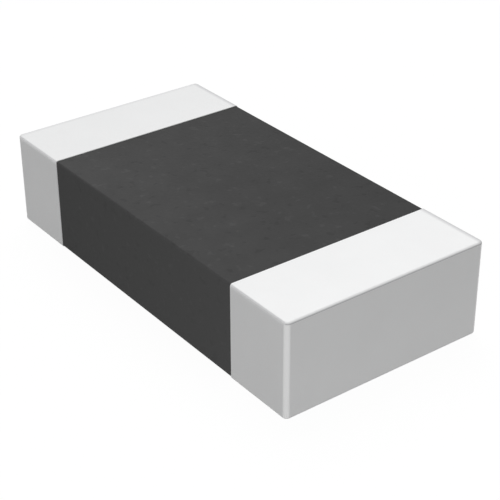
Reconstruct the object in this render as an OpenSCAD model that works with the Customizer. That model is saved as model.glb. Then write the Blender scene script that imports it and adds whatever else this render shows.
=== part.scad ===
// Multilayer ceramic chip capacitor for surface mounting, in millimetres.
// It lies flat, with its length along X, its underside at Z = 0 and its middle over the origin.

/* [Chip] */
// Length over both terminals
chip_l = 3.2; // [2.4:0.05:4.8]
// Width over the terminals
chip_w = 1.6; // [0.8:0.05:3.2]
// Height over the terminals
chip_h = 0.7; // [0.5:0.01:1.4]
// Radius of the four upright edges at the ends, over the plating
upright_edge_r = 0.033; // [0.028:0.001:0.06]
// Radius of the level edges around the top and the underside, over the plating
level_edge_r = 0.018; // [0.015:0.001:0.026]

/* [Terminals] */
// Length of each terminal along the long faces
band_l = 0.555; // [0.25:0.005:0.9]
// Thickness of the fired copper over the ends, where it meets the electrodes
copper_end_t = 0.025; // [0.005:0.001:0.04]
// Thickness of the fired copper where it folds round onto the long faces
copper_band_t = 0.002; // [0.001:0.0005:0.006]
// Thickness of the nickel barrier over the copper
nickel_t = 0.001; // [0.0005:0.0005:0.003]
// Thickness of the tin over the nickel
tin_t = 0.002; // [0.001:0.0005:0.005]

/* [Electrodes] */
// Pairs of electrodes, where each pair has one that reaches each end
electrode_pairs = 14; // [2:1:26]
// Thickness of one electrode
electrode_t = 0.002; // [0.0005:0.0005:0.004]
// Plain ceramic above and below the stack of electrodes
cover_t = 0.1; // [0.07:0.01:0.2]
// Plain ceramic on each side of the electrodes
side_margin = 0.15; // [0.07:0.01:0.3]
// Plain ceramic between an electrode's free end and the far terminal
end_margin = 0.2; // [0.08:0.01:0.4]

/* [Hidden] */
$fn = 32;

// Each coat lies over the last one, so the ceramic is what is left inside them all
plating_t = nickel_t + tin_t;
band_t = copper_band_t + plating_t;
ceramic_l = chip_l - 2 * (copper_end_t + plating_t);
ceramic_w = chip_w - 2 * band_t;
ceramic_h = chip_h - 2 * band_t;
ceramic_upright_r = upright_edge_r - band_t;
ceramic_level_r = level_edge_r - band_t;

// The electrodes share the height between the two covers evenly
electrode_count = 2 * electrode_pairs;
electrode_l = ceramic_l - end_margin;
electrode_w = ceramic_w - 2 * side_margin;
electrode_pitch = (ceramic_h - 2 * cover_t - electrode_t) / (electrode_count - 1);

// Layers are counted from the lowest one up, and odd layers reach the left end
function reaches_left(layer) = layer % 2 == 1;
function electrode_name(layer) =
    str(reaches_left(layer) ? "left" : "right", "_electrode_", layer < 10 ? "0" : "", layer);

// Upright section of a post, from its axis outwards, with its two outer corners rounded
module post_section(radius, height, r) {
    translate([0, -height / 2]) square([radius - r, height]);
    translate([0, r - height / 2]) square([radius, height - 2 * r]);
    for (z = [-1, 1] * (height / 2 - r))
        intersection() {
            translate([radius - r, z]) circle(r = r);
            translate([0, z - r]) square([radius, 2 * r]);
        }
}

// A block centred on the origin, with its upright edges rounded first, and then its level edges all
// the way round. A quarter of a post with rounded rims stands in each upright edge.
module rounded_block(size, upright_r, level_r) {
    flat = size - 2 * upright_r * [1, 1, 0];
    short = size - 2 * level_r * [1, 1, 1];
    for (turn_x = [0, 1], turn_y = [0, 1])
        mirror([turn_x, 0, 0]) mirror([0, turn_y, 0]) translate([flat.x / 2, flat.y / 2, 0])
            rotate_extrude(angle = 90) post_section(upright_r, size.z, level_r);
    cube([flat.x, short.y, size.z], center = true);
    cube([flat.x, size.y, short.z], center = true);
    cube([short.x, flat.y, size.z], center = true);
    cube([size.x, flat.y, short.z], center = true);
    for (z = [-1, 1] * short.z / 2) {
        for (y = [-1, 1] * short.y / 2)
            translate([0, y, z]) rotate([0, 90, 0]) cylinder(r = level_r, h = flat.x, center = true);
        for (x = [-1, 1] * short.x / 2)
            translate([x, 0, z]) rotate([90, 0, 0]) cylinder(r = level_r, h = flat.y, center = true);
    }
}

// The outline of the ceramic, with no room cut for its electrodes
module ceramic_block() {
    rounded_block([ceramic_l, ceramic_w, ceramic_h], ceramic_upright_r, ceramic_level_r);
}

// The sheet that one electrode fills, made longer by "past" at the end that it reaches
module electrode_sheet(layer, past = 0) {
    side = reaches_left(layer) ? -1 : 1;
    layer_z = -ceramic_h / 2 + cover_t + electrode_t / 2 + (layer - 1) * electrode_pitch;
    translate([side * (ceramic_l - electrode_l + past) / 2, 0, layer_z])
        cube([electrode_l + past, electrode_w, electrode_t], center = true);
}

// The right end of the chip out to the surface "inset" below its finished faces. The rim is set
// back by as much, so that each coat also closes over the rim of the one under it.
module right_end(inset) {
    inset_box = [chip_l, chip_w, chip_h] - 2 * inset * [1, 1, 1];
    intersection() {
        rounded_block(inset_box, upright_edge_r - inset, level_edge_r - inset);
        translate([chip_l / 2 - band_l + inset, -chip_w / 2, -chip_h / 2])
            cube([band_l, chip_w, chip_h]);
    }
}

// One coat of the right terminal, between two depths below the finished faces
module right_coat(outer_inset, inner_inset) {
    difference() {
        right_end(outer_inset);
        right_end(inner_inset);
        ceramic_block();
    }
}

// Sets a piece that is centred on the origin down on its underside
module set_down() {
    translate([0, 0, chip_h / 2]) children();
}

// Turns a piece of the right terminal round to the left end
module at_left() {
    rotate([0, 0, 180]) children();
}

// Sintered dielectric, one solid with a thin slot for each electrode, open at one end
module ceramic_body() {
    color("#46464a") set_down() difference() {
        ceramic_block();
        for (layer = [1:electrode_count])
            electrode_sheet(layer, past = upright_edge_r);
    }
}

// Printed nickel electrode
module electrode(layer) {
    color("#9c978c") set_down() electrode_sheet(layer);
}

// Fired copper that joins one end's electrodes
module copper_base() {
    color("#b5714f") set_down() difference() {
        right_end(plating_t);
        ceramic_block();
    }
}

// Nickel that keeps the solder off the copper
module nickel_barrier() {
    color("#b9b3a4") set_down() right_coat(tin_t, plating_t);
}

// Matt tin, which takes the solder
module tin_plating() {
    color("#eceded") set_down() right_coat(0, tin_t);
}

ceramic_body();
for (layer = [1:electrode_count])
    electrode(layer);
at_left() copper_base();  // left_copper_base
at_left() nickel_barrier();  // left_nickel_barrier
at_left() tin_plating();  // left_tin_plating
copper_base();  // right_copper_base
nickel_barrier();  // right_nickel_barrier
tin_plating();  // right_tin_plating
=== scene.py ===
import math

import bpy
from mathutils import Euler, Matrix, Vector


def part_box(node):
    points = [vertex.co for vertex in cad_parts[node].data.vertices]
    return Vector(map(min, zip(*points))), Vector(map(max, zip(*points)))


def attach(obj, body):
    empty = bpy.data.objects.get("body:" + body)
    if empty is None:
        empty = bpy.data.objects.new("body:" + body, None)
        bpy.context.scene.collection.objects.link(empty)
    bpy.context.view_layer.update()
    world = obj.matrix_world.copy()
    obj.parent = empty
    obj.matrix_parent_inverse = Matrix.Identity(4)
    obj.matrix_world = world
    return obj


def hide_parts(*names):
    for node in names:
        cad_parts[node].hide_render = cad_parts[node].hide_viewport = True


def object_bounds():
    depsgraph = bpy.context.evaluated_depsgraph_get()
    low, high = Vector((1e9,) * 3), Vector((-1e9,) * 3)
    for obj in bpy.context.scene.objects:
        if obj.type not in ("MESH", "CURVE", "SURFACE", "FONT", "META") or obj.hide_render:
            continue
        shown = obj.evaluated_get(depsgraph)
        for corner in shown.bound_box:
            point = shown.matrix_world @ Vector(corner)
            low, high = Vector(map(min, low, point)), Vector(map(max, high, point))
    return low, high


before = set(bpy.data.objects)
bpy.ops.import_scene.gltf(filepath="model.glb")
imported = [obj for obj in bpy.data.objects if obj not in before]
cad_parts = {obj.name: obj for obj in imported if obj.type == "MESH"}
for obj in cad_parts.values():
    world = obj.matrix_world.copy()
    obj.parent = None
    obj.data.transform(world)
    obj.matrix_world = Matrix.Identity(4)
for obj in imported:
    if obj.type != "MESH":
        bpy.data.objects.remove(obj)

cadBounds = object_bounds()
scene = bpy.context.scene
scene.view_settings.view_transform = "Standard"

# New pieces are modelled in millimetres and brought to metres when they are done
millimetre = 0.001

modelling = {
    "levelRise": 0.1,  # millimetres: an edge that rises by less than this is a level one
    "smoothAngle": 50,  # degrees
    "areaWeight": 100,
    "areaStep": 0.0003,  # faces with a smaller difference in area count as equal
}


def deselectAll():
    if bpy.context.mode != "OBJECT":
        bpy.ops.object.mode_set(mode="OBJECT")
    bpy.ops.object.select_all(action="DESELECT")


def makeActive(piece):
    deselectAll()
    piece.select_set(True)
    bpy.context.view_layer.objects.active = piece


def boxOf(node):
    low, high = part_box(node)
    return low / millimetre, high / millimetre


def applyPlace(piece):
    makeActive(piece)
    bpy.ops.object.transform_apply(location=True, rotation=True, scale=True)


def applyModifier(piece, kind, **settings):
    modifier = piece.modifiers.new(kind.title(), kind)
    for setting, value in settings.items():
        setattr(modifier, setting, value)
    makeActive(piece)
    bpy.ops.object.modifier_apply(modifier=modifier.name)


def cutAway(piece, cutter):
    applyModifier(piece, "BOOLEAN", operation="DIFFERENCE", solver="EXACT", object=cutter)
    bpy.data.objects.remove(cutter)


# Bevels what is selected in edit mode
def roundOver(radius, segments):
    bpy.ops.object.mode_set(mode="EDIT")
    bpy.ops.mesh.bevel(offset=radius, segments=segments, affect="EDGES")
    bpy.ops.object.mode_set(mode="OBJECT")


def selectEdges(piece, upright):
    makeActive(piece)
    bpy.context.tool_settings.mesh_select_mode = (False, True, False)
    mesh = piece.data
    for part in (mesh.vertices, mesh.edges, mesh.polygons):
        part.foreach_set("select", [False] * len(part))
    for edge in mesh.edges:
        start, end = (mesh.vertices[v].co for v in edge.vertices)
        edge.select = (abs(start.z - end.z) > modelling["levelRise"]) == upright


# A cube pulled to size. With a shape, its upright edges are rounded over first and then the level
# ones. The radii of a block that lies "inset" below that shape's surface are smaller by as much.
def addBlock(name, low, high, shape=None, inset=0):
    deselectAll()
    bpy.ops.mesh.primitive_cube_add(size=1, location=(low + high) / 2)
    block = bpy.context.object
    block.name = name
    block.scale = high - low
    applyPlace(block)
    if shape:
        selectEdges(block, upright=True)
        roundOver(shape["uprightRadius"] - inset, shape["segments"])
        selectEdges(block, upright=False)
        roundOver(shape["levelRadius"] - inset, shape["segments"])
    return block


# Cuts off what lies left of this place. The new end face stays selected.
def keepRightOf(piece, x):
    makeActive(piece)
    bpy.ops.object.mode_set(mode="EDIT")
    bpy.ops.mesh.select_all(action="SELECT")
    bpy.ops.mesh.bisect(plane_co=(x, 0, 0), plane_no=(1, 0, 0), use_fill=True, clear_inner=True)
    bpy.ops.object.mode_set(mode="OBJECT")


# The normals follow the larger faces, so that these look flat. In metres all the areas would count
# as equal, so this is done before the change of scale.
def finishPiece(piece, material, node):
    makeActive(piece)
    bpy.ops.object.shade_smooth_by_angle(angle=math.radians(modelling["smoothAngle"]))
    applyModifier(piece, "WEIGHTED_NORMAL", mode="FACE_AREA", weight=modelling["areaWeight"],
                  thresh=modelling["areaStep"], keep_sharp=True)
    piece.scale = (millimetre,) * 3
    applyPlace(piece)
    piece.data.materials.clear()
    piece.data.materials.append(material)
    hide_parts(node)
    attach(piece, "root")


# Nodes for the materials

def newMaterial(name):
    material = bpy.data.materials.new(name)
    material.use_nodes = True
    tree = material.node_tree
    return material, tree, tree.nodes["Principled BSDF"]


# Links a socket to another one, or gives it a number or colour
def feed(tree, socket, value):
    if isinstance(value, bpy.types.NodeSocket):
        tree.links.new(value, socket)
    elif isinstance(value, tuple):
        socket.default_value = (*value, 1)
    else:
        socket.default_value = value


# Object coordinates in millimetres, where the floor is this far below zero
def addPlace(tree, floorBelow=0):
    coords = tree.nodes.new("ShaderNodeTexCoord")
    place = tree.nodes.new("ShaderNodeMapping")
    place.inputs["Scale"].default_value = (1 / millimetre,) * 3
    place.inputs["Location"].default_value = (0, 0, -floorBelow)
    feed(tree, place.inputs["Vector"], coords.outputs["Object"])
    return place.outputs["Vector"]


def addSplit(tree, vector):
    split = tree.nodes.new("ShaderNodeSeparateXYZ")
    feed(tree, split.inputs["Vector"], vector)
    return split.outputs


def addNoise(tree, place, scale, detail=2.0):
    noise = tree.nodes.new("ShaderNodeTexNoise")
    noise.inputs["Scale"].default_value = scale
    noise.inputs["Detail"].default_value = detail
    feed(tree, noise.inputs["Vector"], place)
    return noise.outputs["Fac"]


def addCells(tree, place, scale):
    cells = tree.nodes.new("ShaderNodeTexVoronoi")
    cells.inputs["Scale"].default_value = scale
    feed(tree, cells.inputs["Vector"], place)
    return cells.outputs["Distance"]


# Brings a source from one range to another. The range that it has here suits a noise.
def addRange(tree, source, low, high, fromLow=0.3, fromHigh=0.7):
    spread = tree.nodes.new("ShaderNodeMapRange")
    spread.inputs["From Min"].default_value = fromLow
    spread.inputs["From Max"].default_value = fromHigh
    spread.inputs["To Min"].default_value = low
    spread.inputs["To Max"].default_value = high
    feed(tree, spread.inputs["Value"], source)
    return spread.outputs["Result"]


def addMath(tree, operation, first, second=0):
    step = tree.nodes.new("ShaderNodeMath")
    step.operation = operation
    feed(tree, step.inputs[0], first)
    feed(tree, step.inputs[1], second)
    return step.outputs["Value"]


def addVectorMath(tree, operation, vector, second=(0, 0, 0)):
    step = tree.nodes.new("ShaderNodeVectorMath")
    step.operation = operation
    step.inputs[1].default_value = second
    feed(tree, step.inputs[0], vector)
    return step.outputs["Vector"]


def addMix(tree, factor, start, end, kind="RGBA", blend="MIX"):
    mix = tree.nodes.new("ShaderNodeMix")
    mix.data_type = kind
    mix.blend_type = blend
    for name, value in (("Factor", factor), ("A", start), ("B", end)):
        feed(tree, next(i for i in mix.inputs if i.name == name and i.enabled), value)
    return next(o for o in mix.outputs if o.enabled)


def addBump(tree, source, height):
    bump = tree.nodes.new("ShaderNodeBump")
    bump.inputs["Distance"].default_value = height * millimetre
    feed(tree, bump.inputs["Height"], source)
    return bump.outputs["Normal"]


# How far past the flat faces each point is along X, Y and Z, where the edges have this radius. Faces
# on both sides count, or only those that "sides" points to.
def addPastFlats(tree, place, size, radius, sides=None):
    if sides:
        past = addVectorMath(tree, "MULTIPLY", place, sides)
    else:
        past = addVectorMath(tree, "ABSOLUTE", place)
    past = addVectorMath(tree, "SUBTRACT", past, tuple(s / 2 - radius for s in size))
    return addSplit(tree, addVectorMath(tree, "MAXIMUM", past))


# How far out over a level edge each point is, as a share of that edge's radius
def addPastOutline(tree, pastX, pastY, uprightRadius, levelRadius):
    squares = [addMath(tree, "MULTIPLY", past, past) for past in (pastX, pastY)]
    reach = addMath(tree, "SQRT", addMath(tree, "ADD", *squares))
    return addRange(tree, reach, 0, 1, uprightRadius - levelRadius, uprightRadius)


# The first of the two, as a share of both
def addShare(tree, first, second):
    return addMath(tree, "DIVIDE", first, addMath(tree, "ADD", first, second))


# Pieces that the tin and the ceramic hide
hiddenMetals = {
    "firedCopper": {
        "darker": (0.48, 0.20, 0.11),
        "lighter": (0.62, 0.29, 0.17),
        "roughness": (0.5, 0.7),
        "grain": 40,  # per millimetre
        "detail": 3,
    },
    "platedNickel": {
        "darker": (0.50, 0.47, 0.41),
        "lighter": (0.58, 0.55, 0.48),
        "roughness": (0.3, 0.45),
        "grain": 90,
        "detail": 3,
    },
    "printedNickel": {
        "darker": (0.33, 0.31, 0.28),
        "lighter": (0.44, 0.42, 0.38),
        "roughness": (0.5, 0.65),
        "grain": 70,
        "detail": 3,
    },
}


def makeHiddenMetal(name):
    metal = hiddenMetals[name]
    material, tree, surface = newMaterial(name)
    speckle = addNoise(tree, addPlace(tree), metal["grain"], metal["detail"])
    colour = addMix(tree, addRange(tree, speckle, 0, 1), metal["darker"], metal["lighter"])
    feed(tree, surface.inputs["Base Color"], colour)
    feed(tree, surface.inputs["Roughness"], addRange(tree, speckle, *metal["roughness"]))
    surface.inputs["Metallic"].default_value = 1.0
    return material


def dress(nodeNames, metalName):
    material = makeHiddenMetal(metalName)
    for name in nodeNames:
        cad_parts[name].data.materials.clear()
        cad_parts[name].data.materials.append(material)


print("copper, nickel and electrodes")
electrodes = sorted(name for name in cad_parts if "_electrode_" in name)
dress(("left_copper_base", "right_copper_base"), "firedCopper")
dress(("left_nickel_barrier", "right_nickel_barrier"), "platedNickel")
dress(electrodes, "printedNickel")


# The top and underside of the ceramic were pressed smooth, and its sides were cut. The cut sides'
# colour holds painted light.
ceramicBody = {
    "uprightRadius": 0.028,
    "levelRadius": 0.013,
    "segments": 8,
    "slotPast": 0.05,  # how far each electrode's slot is cut past the end
    "pressed": (0.035, 0.041),  # darkest and lightest of the cloud
    "pressedTone": (1.18, 0.82),  # painted light, lighter at the front and darker at the back: front, back
    "cut": (0.076, 0.108),  # painted light, lighter than the pressed faces and lighter towards the right: left end, right end
    "pressedRoughness": (0.38, 0.46),
    "cutRoughness": (0.76, 0.84),
    "specular": 0.055,
    "grain": 45.0,  # per millimetre
    "grainDetail": 4,
    "cloud": 4.0,
    "speckle": 16.0,
    "speckleDetail": 1,
    "fleck": (0.64, 0.74),  # where the speckle makes a pale fleck
    "pit": (0.36, 0.26),  # and where it makes a pit
    "fleckTone": 1.2,
    "pitTone": 0.85,
    "cutSpecks": 0.4,  # share of the flecks and pits on the cut sides
    "bump": 0.0006,  # millimetres
    "speckBump": 0.0006,
}


def makeCharcoalCeramic():
    material, tree, surface = newMaterial("charcoalCeramic")
    low, high = boxOf("ceramic_body")
    place = addPlace(tree, (low.z + high.z) / 2)
    x, y, z = addSplit(tree, place)
    grain = addNoise(tree, place, ceramicBody["grain"], ceramicBody["grainDetail"])
    cloud = addNoise(tree, place, ceramicBody["cloud"])
    speckle = addNoise(tree, place, ceramicBody["speckle"], ceramicBody["speckleDetail"])

    halfHeight = (high.z - low.z) / 2
    fromMiddle = addMath(tree, "ABSOLUTE", z)
    isPressed = addRange(tree, fromMiddle, 0, 1, halfHeight - ceramicBody["levelRadius"], halfHeight)
    # Painted light: the pressed faces are lighter towards the front and darker towards the back
    front, back = ceramicBody["pressedTone"]
    pressed = addRange(tree, cloud, *ceramicBody["pressed"])
    pressed = addMath(tree, "MULTIPLY", pressed, addRange(tree, y, front, back, low.y, high.y))
    # Painted light: the cut sides are lighter than the pressed faces, and lighter towards the right
    # end
    cut = addRange(tree, x, *ceramicBody["cut"], low.x, high.x)
    colour = addMix(tree, isPressed, cut, pressed, "FLOAT")

    share = addRange(tree, isPressed, ceramicBody["cutSpecks"], 1, 0, 1)
    fleck = addMath(tree, "MULTIPLY", share, addRange(tree, speckle, 0, 1, *ceramicBody["fleck"]))
    pit = addMath(tree, "MULTIPLY", share, addRange(tree, speckle, 0, 1, *ceramicBody["pit"]))
    for speck, tone in ((fleck, ceramicBody["fleckTone"]), (pit, ceramicBody["pitTone"])):
        colour = addMath(tree, "MULTIPLY", colour, addRange(tree, speck, 1, tone, 0, 1))
    feed(tree, surface.inputs["Base Color"], colour)

    pressed = addRange(tree, grain, *ceramicBody["pressedRoughness"])
    cut = addRange(tree, grain, *ceramicBody["cutRoughness"])
    feed(tree, surface.inputs["Roughness"], addMix(tree, isPressed, cut, pressed, "FLOAT"))
    surface.inputs["Specular IOR Level"].default_value = ceramicBody["specular"]

    specks = addMath(tree, "SUBTRACT", fleck, pit)
    specks = addMath(tree, "MULTIPLY", specks, ceramicBody["speckBump"] / ceramicBody["bump"])
    relief = addMath(tree, "ADD", grain, specks)
    feed(tree, surface.inputs["Normal"], addBump(tree, relief, ceramicBody["bump"]))
    return material


def addCeramicBlock():
    return addBlock("ceramicBody", *boxOf("ceramic_body"), ceramicBody)


def buildCeramicBody():
    body = addCeramicBlock()
    slots = []
    for name in electrodes:
        low, high = boxOf(name)
        if name.startswith("left_"):
            low.x -= ceramicBody["slotPast"]
        else:
            high.x += ceramicBody["slotPast"]
        slots.append(addBlock("slot", low, high))
    deselectAll()
    for slot in slots:
        slot.select_set(True)
    bpy.context.view_layer.objects.active = slots[0]
    bpy.ops.object.join()
    cutAway(body, slots[0])
    finishPiece(body, makeCharcoalCeramic(), "ceramic_body")


print("ceramic body")
buildCeramicBody()


tinPlating = {
    "uprightRadius": 0.033,
    "levelRadius": 0.018,
    "segments": 8,
    "rimRadius": 0.0012,
    "rimSegments": 2,
    "darker": (0.85, 0.853, 0.855),
    "lighter": (0.865, 0.868, 0.87),
    "tone": (0.90, 1.0),  # painted shade, darker towards the left end: left, right
    "endPaintedShading": (1.04, 0.95),  # painted light and shade, at the lower front corner and the upper back corner of an end face
    "paintedHighlight": (0.93, 0.93, 0.93),  # painted highlight on the upright edges
    # how strong the painted highlight is
    "edgeHighlight": 0.72,
    "highlightFrom": (0.01, 0.25),  # share of the upright radius
    "highlightStrip": (0.030, 0.020),  # painted highlight strip under the long upper edges, in millimetres from the top
    "stripFrom": (0.7, 0.95),  # share of the way out over the edge
    "stripHighlight": 0.5,
    "thin": (0.55, 0.55, 0.56),  # painted shade on the upper edges
    "thinAcross": 1.0,  # at the ends
    "acrossFrom": (0.78, 1.0),  # share of the way out over the edge
    "thinAlong": 0.65,  # along the long sides
    "alongFrom": (0.45, 0.75),
    "turnFrom": (0.1, 0.4),  # where a corner turns from a long side to an end
    "thinBack": 0.85,  # at the back
    "backReach": 0.05,  # millimetres in from the back and left faces
    "backFrom": (0.0, 0.6),  # share of that
    "thinLeft": 0.4,  # at the left, as a share of the back
    "leftFrom": (0.1, 0.9),  # where a corner turns from the back to the left
    "metallic": (0.04, 0.3),  # elsewhere, and under the painted highlight
    "specular": 0.2,
    "roughness": (0.48, 0.56),
    "crystals": 70.0,  # per millimetre
    "cloud": 3.0,
    "bump": 0.0005,  # millimetres
}


# Painted light and shade: the tin is a little darker towards the left, and on an end face darker
# towards its upper back corner
def addPaintedShade(tree, x, y, z, size, isEnd):
    tone = addRange(tree, x, *tinPlating["tone"], -size.x / 2, size.x / 2)
    backward = addMath(tree, "DIVIDE", y, size.y)
    upward = addMath(tree, "DIVIDE", z, size.z)
    slant = addMath(tree, "ADD", backward, upward)
    endPaintedShading = addRange(tree, slant, *tinPlating["endPaintedShading"], -1, 1)
    return addMath(tree, "MULTIPLY", tone, addMix(tree, isEnd, 1, endPaintedShading, "FLOAT"))


# Painted shade on the upper edges, from 0 to 1
def addPaintedEdgeShade(tree, place, size, overEdge, turned, alongside):
    across = addRange(tree, overEdge, 0, tinPlating["thinAcross"], *tinPlating["acrossFrom"])
    across = addMath(tree, "MULTIPLY", turned, across)
    along = addRange(tree, overEdge, 0, tinPlating["thinAlong"], *tinPlating["alongFrom"])
    along = addMath(tree, "MULTIPLY", alongside, along)

    reach = tinPlating["backReach"]
    pastLeft, pastBack, _ = addPastFlats(tree, place, size, reach, (-1, 1, 1))
    overBack = addPastOutline(tree, pastLeft, pastBack, reach, reach)
    back = addRange(tree, overBack, 0, tinPlating["thinBack"], *tinPlating["backFrom"])
    leftward = addShare(tree, pastLeft, pastBack)
    leftward = addRange(tree, leftward, 1, tinPlating["thinLeft"], *tinPlating["leftFrom"])
    back = addMath(tree, "MULTIPLY", back, leftward)
    return addMath(tree, "MAXIMUM", addMath(tree, "MAXIMUM", across, along), back)


# Painted highlight on the upright edges and under the long upper edges, from 0 to 1. It also makes
# the tin more metallic there.
def addPaintedHighlight(tree, corner, isUpper, overEdge, alongside, belowTop):
    start, full = (share * tinPlating["uprightRadius"] for share in tinPlating["highlightFrom"])
    upright = addRange(tree, corner, 0, tinPlating["edgeHighlight"], start, full)
    upright = addMath(tree, "MULTIPLY", upright, addMath(tree, "SUBTRACT", 1, isUpper))
    highlightStrip = addRange(tree, belowTop, 0, tinPlating["stripHighlight"], *tinPlating["highlightStrip"])
    highlightStrip = addMath(tree, "MULTIPLY", highlightStrip, addRange(tree, overEdge, 0, 1, *tinPlating["stripFrom"]))
    highlightStrip = addMath(tree, "MULTIPLY", highlightStrip, alongside)
    return addMath(tree, "MAXIMUM", upright, highlightStrip)


def makeMattTin():
    material, tree, surface = newMaterial("mattTin")
    low, high = (corner / millimetre for corner in cadBounds)
    size = high - low
    place = addPlace(tree, size.z / 2)
    x, y, z = addSplit(tree, place)
    crystals = addCells(tree, place, tinPlating["crystals"])
    cloud = addNoise(tree, place, tinPlating["cloud"])

    upright, level = tinPlating["uprightRadius"], tinPlating["levelRadius"]
    pastX, pastY, _ = addPastFlats(tree, place, size, upright)
    overEdge = addPastOutline(tree, pastX, pastY, upright, level)
    turned = addRange(tree, addShare(tree, pastX, pastY), 0, 1, *tinPlating["turnFrom"])
    alongside = addMath(tree, "SUBTRACT", 1, turned)
    belowTop = addMath(tree, "SUBTRACT", size.z / 2, z)
    isUpper = addMath(tree, "LESS_THAN", belowTop, level)
    thin = addPaintedEdgeShade(tree, place, size, overEdge, turned, alongside)
    thin = addMath(tree, "MULTIPLY", thin, isUpper)
    corner = addMath(tree, "MINIMUM", pastX, pastY)
    edgeHighlight = addPaintedHighlight(tree, corner, isUpper, overEdge, alongside, belowTop)
    isEnd = addRange(tree, pastX, 0, 1, upright - level, upright)
    # Painted light and shade by place on the tin
    tone = addPaintedShade(tree, x, y, z, size, isEnd)

    colour = addMix(tree, addRange(tree, cloud, 0, 1), tinPlating["darker"], tinPlating["lighter"])
    colour = addMix(tree, 1, colour, tone, blend="MULTIPLY")
    # Painted shade on the upper edges
    colour = addMix(tree, thin, colour, tinPlating["thin"])
    # Painted highlight
    colour = addMix(tree, edgeHighlight, colour, tinPlating["paintedHighlight"])
    feed(tree, surface.inputs["Base Color"], colour)
    feed(tree, surface.inputs["Metallic"], addRange(tree, edgeHighlight, *tinPlating["metallic"], 0, 1))
    feed(tree, surface.inputs["Roughness"], addRange(tree, crystals, *tinPlating["roughness"]))
    surface.inputs["Specular IOR Level"].default_value = tinPlating["specular"]
    feed(tree, surface.inputs["Normal"], addBump(tree, crystals, tinPlating["bump"]))
    return material


def buildTinPlatings():
    chipLow, chipHigh = boxOf("left_tin_plating")[0], boxOf("right_tin_plating")[1]
    tinStart, nickelStart = boxOf("right_tin_plating")[0].x, boxOf("right_nickel_barrier")[0].x
    thickness = nickelStart - tinStart
    plating = addBlock("rightTinPlating", chipLow, chipHigh, tinPlating)
    keepRightOf(plating, tinStart)
    roundOver(tinPlating["rimRadius"], tinPlating["rimSegments"])
    inset = Vector((thickness,) * 3)
    nickel = addBlock("nickel", chipLow + inset, chipHigh - inset, tinPlating, thickness)
    keepRightOf(nickel, nickelStart)
    cutAway(plating, nickel)
    cutAway(plating, addCeramicBlock())
    makeActive(plating)
    bpy.ops.object.duplicate()
    other = bpy.context.object
    other.name = "leftTinPlating"
    other.rotation_euler.z = math.pi
    material = makeMattTin()
    finishPiece(plating, material, "right_tin_plating")
    finishPiece(other, material, "left_tin_plating")


print("tin platings")
buildTinPlatings()


studio = {
    "floorSize": 0.3,  # metres
    "floorColour": 0.05,
    "floorGlow": 0.955,
    "worldLight": 0.5,
}

# Bearing and height in degrees, size in metres, and brightness where white is 1
softBoxes = {
    "frontSoftBox": {"azimuth": 46, "elevation": 15, "size": 0.8, "radiance": 2.27},
    "backSoftBox": {"azimuth": 240, "elevation": 60, "size": 0.8, "radiance": 3.35},
}


# One for a ray from the camera, a reflection or glass, and zero for a ray that only lights
def addSeenDirectly(tree):
    path = tree.nodes.new("ShaderNodeLightPath").outputs
    seen = addMath(tree, "MAXIMUM", path["Is Camera Ray"], path["Is Glossy Ray"])
    return addMath(tree, "MAXIMUM", seen, path["Is Transmission Ray"])


# The floor shows white through a glow that lights nothing, and still takes the chip's shadow
def buildFloor():
    deselectAll()
    bpy.ops.mesh.primitive_plane_add(size=studio["floorSize"])
    floor = bpy.context.object
    floor.name = "floor"
    material = bpy.data.materials.new("paleFloor")
    material.use_nodes = True
    tree = material.node_tree
    tree.nodes.clear()
    output = tree.nodes.new("ShaderNodeOutputMaterial")
    both = tree.nodes.new("ShaderNodeAddShader")
    matt = tree.nodes.new("ShaderNodeBsdfDiffuse")
    glow = tree.nodes.new("ShaderNodeEmission")
    feed(tree, matt.inputs["Color"], (studio["floorColour"],) * 3)
    strength = addMath(tree, "MULTIPLY", addSeenDirectly(tree), studio["floorGlow"])
    feed(tree, glow.inputs["Strength"], strength)
    feed(tree, both.inputs[0], matt.outputs["BSDF"])
    feed(tree, both.inputs[1], glow.outputs["Emission"])
    feed(tree, output.inputs["Surface"], both.outputs["Shader"])
    material.cycles.emission_sampling = "NONE"
    floor.data.materials.append(material)


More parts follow.
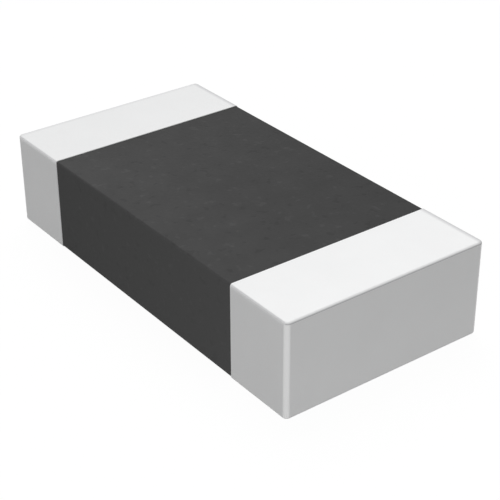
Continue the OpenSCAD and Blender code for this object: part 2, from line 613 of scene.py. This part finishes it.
def buildWorld():
    world = bpy.data.worlds.new("studio")
    scene.world = world
    world.use_nodes = True
    tree = world.node_tree
    background = tree.nodes["Background"]
    feed(tree, background.inputs["Color"], (1, 1, 1))
    strength = addRange(tree, addSeenDirectly(tree), studio["worldLight"], 1, 0, 1)
    feed(tree, background.inputs["Strength"], strength)


# A round soft box one metre away, aimed at the chip
def addSoftBox(name, azimuth, elevation, size, radiance):
    a, e = math.radians(azimuth), math.radians(elevation)
    away = Vector((math.sin(a) * math.cos(e), -math.cos(a) * math.cos(e), math.sin(e)))
    data = bpy.data.lights.new(name, "AREA")
    data.shape = "DISK"
    data.size = size
    data.energy = radiance * math.pi * math.pi * (size / 2) ** 2  # pi times the disc's area
    lamp = bpy.data.objects.new(name, data)
    scene.collection.objects.link(lamp)
    lamp.location = away
    lamp.rotation_mode = "QUATERNION"
    lamp.rotation_quaternion = (-away).to_track_quat("-Z", "Y")
    lamp.visible_camera = False


chipCamera = {
    "azimuth": 53.23,
    "elevation": 30.05,
    "roll": -0.23,
    "distance": 9.907,  # millimetres from the middle of the chip's underside
    "right": 0.1074,
    "up": 0.1512,
    "focalLength": 100.28,
    "sensorWidth": 36.0,
    "clip": (0.1, 10000),
}


def buildCamera():
    data = bpy.data.cameras.new("camera")
    data.lens = chipCamera["focalLength"]
    data.sensor_width = chipCamera["sensorWidth"]
    data.clip_start, data.clip_end = (c * millimetre for c in chipCamera["clip"])
    camera = bpy.data.objects.new("camera", data)
    scene.collection.objects.link(camera)
    a, e = math.radians(chipCamera["azimuth"]), math.radians(chipCamera["elevation"])
    upright = Euler((math.pi / 2 - e, 0, a)).to_matrix()
    turned = upright @ Matrix.Rotation(math.radians(chipCamera["roll"]), 3, "Z")
    offset = Vector((chipCamera["right"], chipCamera["up"], chipCamera["distance"]))
    camera.matrix_world = Matrix.LocRotScale(upright @ offset * millimetre, turned, None)
    scene.camera = camera


print("floor, lamps and camera")
buildFloor()
buildWorld()
for name, place in softBoxes.items():
    addSoftBox(name, **place)
buildCamera()
